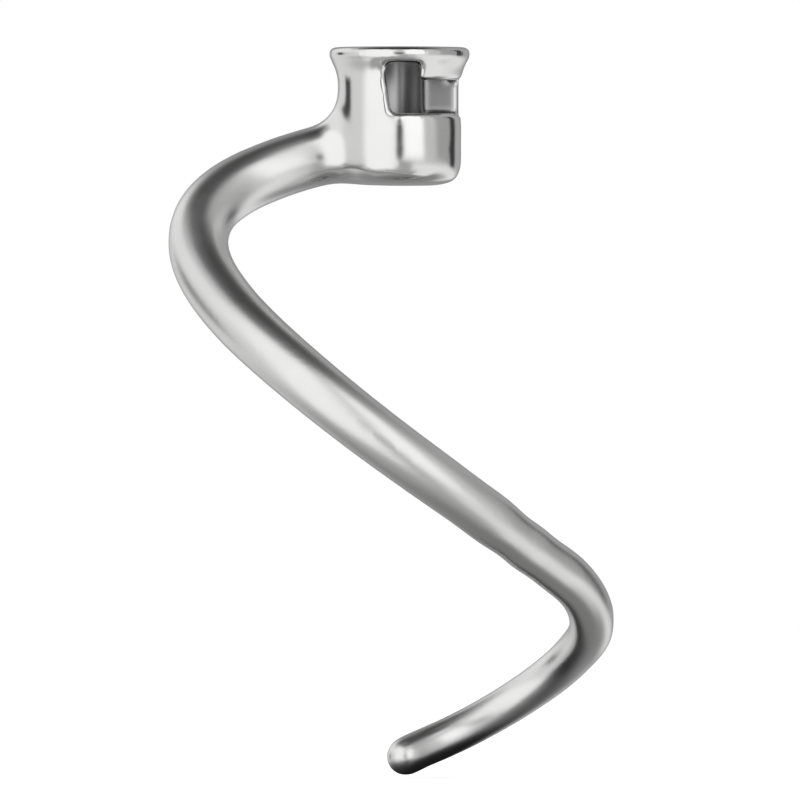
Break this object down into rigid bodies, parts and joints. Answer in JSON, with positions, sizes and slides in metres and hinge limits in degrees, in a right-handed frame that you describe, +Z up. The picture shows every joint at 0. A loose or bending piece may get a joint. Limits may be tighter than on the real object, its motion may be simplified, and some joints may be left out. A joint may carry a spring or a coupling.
{
  "type": "stand mixer dough hook",
  "caption": "Spiral dough hook for a stand mixer: a flared socket with a pin slot locks on the beater shaft, and a tapering arm sweeps round below it to a domed tip.",
  "frame": {"origin": "centre of the shaft socket's mouth, level with the rim's top face, as the hook hangs in the mixer", "axes": "+Z up along the shaft socket's axis, out of its mouth; the arm leaves the socket towards -X and sweeps round by -Y"},
  "size_m": [0.1112, 0.083, 0.1822],
  "materials": {
    "polished_steel": "polished to a soft satin sheen"
  },
  "bodies": {
    "root": {"dough_hook": "polished_steel"}
  },
  "joints": []
}
